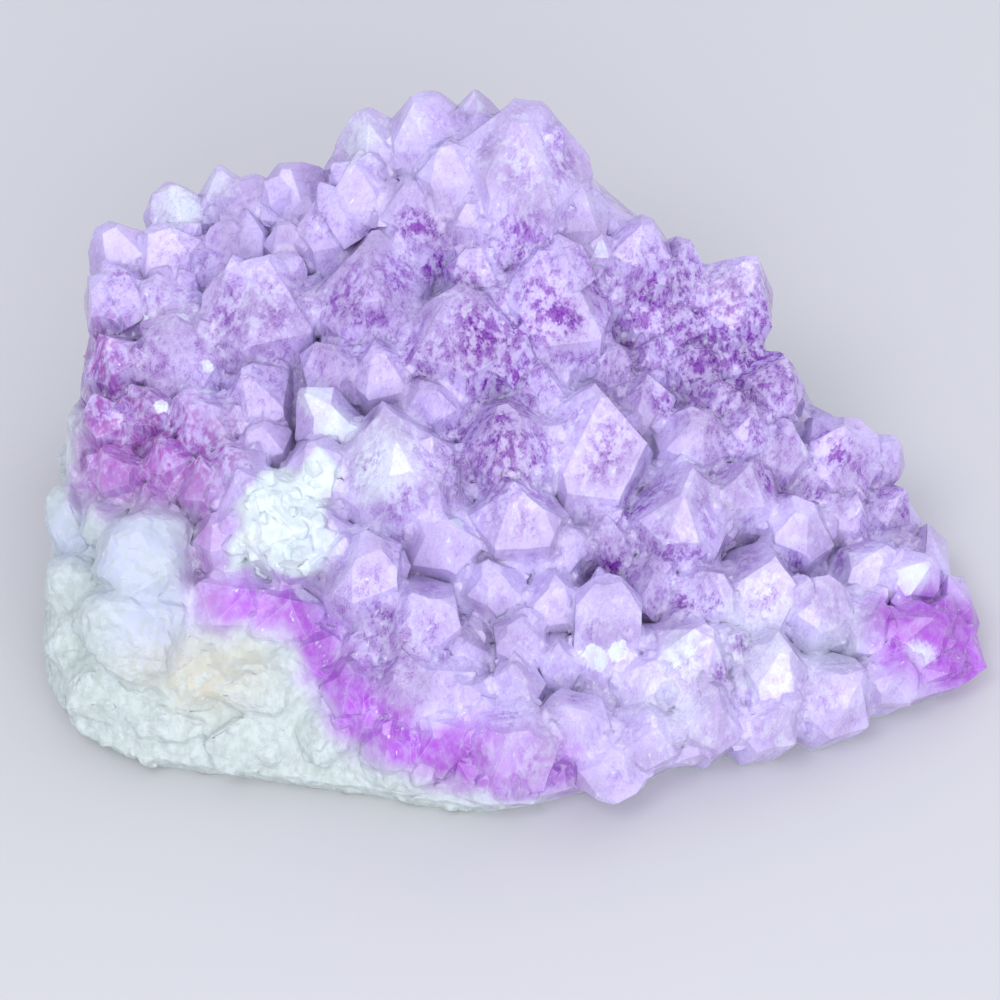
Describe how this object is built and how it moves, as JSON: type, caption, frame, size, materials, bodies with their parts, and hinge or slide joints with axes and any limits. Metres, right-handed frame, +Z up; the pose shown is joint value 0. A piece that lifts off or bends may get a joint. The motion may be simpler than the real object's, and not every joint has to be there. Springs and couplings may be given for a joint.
{
  "type": "amethyst cluster",
  "caption": "Natural druse of lilac quartz crystals grown together on a broken white quartz slab, resting on its flat broken underside.",
  "frame": {"origin": "middle of the bounding box on the floor that the cluster rests on", "axes": "+X to the right seen from the front, along the cluster's width; +Y to the back, where it is highest; +Z up"},
  "size_m": [0.1128, 0.08, 0.0526],
  "materials": {
    "amethyst": "glassy lilac crystals with dark violet cores, fading to milky white at the broken base"
  },
  "bodies": {
    "root": {"amethyst_cluster": "amethyst"}
  },
  "joints": []
}
